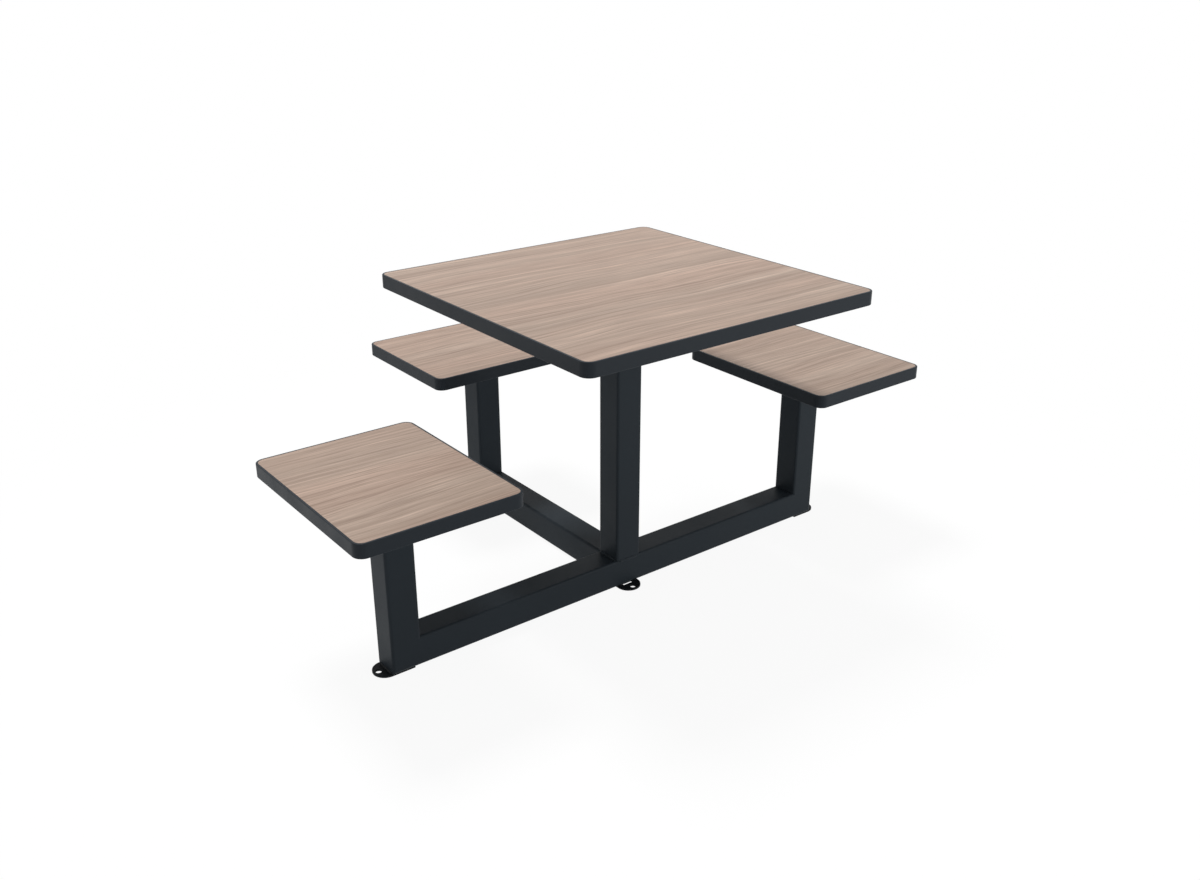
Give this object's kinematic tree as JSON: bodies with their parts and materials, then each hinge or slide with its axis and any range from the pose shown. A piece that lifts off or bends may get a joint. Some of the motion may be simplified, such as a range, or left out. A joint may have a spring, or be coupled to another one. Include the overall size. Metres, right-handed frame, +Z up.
{
  "type": "table with attached swivel seats",
  "caption": "Square wood-grain table with self-centring swivel seats on one welded frame of dark square tube; one side is left open for a wheelchair.",
  "frame": {"origin": "on the floor, under the centre line of the table's centre post", "axes": "+X along the floor rail from the left seat to the right seat, +Y towards the rear seat, +Z up; the open side is at -Y"},
  "size_m": [1.576, 1.178, 0.75],
  "materials": {
    "wood_laminate": "satin wood-grain laminate",
    "edge_band": "fine-textured black",
    "backing_laminate": "matt",
    "board_core": "raw particle board",
    "frame_powder_coat": "charcoal powder coat, fine texture",
    "zinc_steel": "zinc plated",
    "spring_steel": "oiled",
    "bush_bronze": "sintered bronze"
  },
  "bodies": {
    "frame": {"floor_rail": "frame_powder_coat", "rear_arm": "frame_powder_coat", "centre_post": "frame_powder_coat", "seat_post_left": "frame_powder_coat", "seat_post_right": "frame_powder_coat", "seat_post_rear": "frame_powder_coat", "foot_plate_right": "frame_powder_coat", "foot_plate_rear": "frame_powder_coat", "foot_plate_left": "frame_powder_coat", "foot_plate_front": "frame_powder_coat", "table_mount_plate": "frame_powder_coat", "gusset_right": "frame_powder_coat", "gusset_rear": "frame_powder_coat", "gusset_left": "frame_powder_coat", "gusset_front": "frame_powder_coat", "table_screws": "zinc_steel", "table_backer": "backing_laminate", "table_core": "board_core", "table_laminate": "wood_laminate", "table_edge_band": "edge_band", "post_cap_left": "frame_powder_coat", "swivel_housing_left": "frame_powder_coat", "housing_bolts_left": "zinc_steel", "swivel_bushes_left": "bush_bronze", "return_spring_left": "spring_steel", "post_cap_right": "frame_powder_coat", "swivel_housing_right": "frame_powder_coat", "housing_bolts_right": "zinc_steel", "swivel_bushes_right": "bush_bronze", "return_spring_right": "spring_steel", "post_cap_rear": "frame_powder_coat", "swivel_housing_rear": "frame_powder_coat", "housing_bolts_rear": "zinc_steel", "swivel_bushes_rear": "bush_bronze", "return_spring_rear": "spring_steel"},
    "seat_left": {"seat_spindle_left": "zinc_steel", "retaining_ring_left": "spring_steel", "seat_plate_left": "frame_powder_coat", "seat_screws_left": "zinc_steel", "seat_backer_left": "backing_laminate", "seat_core_left": "board_core", "seat_laminate_left": "wood_laminate", "seat_edge_band_left": "edge_band"},
    "seat_right": {"seat_spindle_right": "zinc_steel", "retaining_ring_right": "spring_steel", "seat_plate_right": "frame_powder_coat", "seat_screws_right": "zinc_steel", "seat_backer_right": "backing_laminate", "seat_core_right": "board_core", "seat_laminate_right": "wood_laminate", "seat_edge_band_right": "edge_band"},
    "seat_rear": {"seat_spindle_rear": "zinc_steel", "retaining_ring_rear": "spring_steel", "seat_plate_rear": "frame_powder_coat", "seat_screws_rear": "zinc_steel", "seat_backer_rear": "backing_laminate", "seat_core_rear": "board_core", "seat_laminate_rear": "wood_laminate", "seat_edge_band_rear": "edge_band"}
  },
  "joints": [
    {"name": "swivel_left", "type": "hinge", "parent": "frame", "child": "seat_left", "pos_m": [-0.604, 0, 0.413], "axis": [0, 0, 1], "range_deg": [-90, 90], "stiffness_Nm_per_rad": 4, "deforming": ["return_spring_left"]},
    {"name": "swivel_right", "type": "hinge", "parent": "frame", "child": "seat_right", "pos_m": [0.604, 0, 0.413], "axis": [0, 0, 1], "range_deg": [-90, 90], "stiffness_Nm_per_rad": 4, "deforming": ["return_spring_right"]},
    {"name": "swivel_rear", "type": "hinge", "parent": "frame", "child": "seat_rear", "pos_m": [0, 0.604, 0.413], "axis": [0, 0, 1], "range_deg": [-90, 90], "stiffness_Nm_per_rad": 4, "deforming": ["return_spring_rear"]}
  ]
}
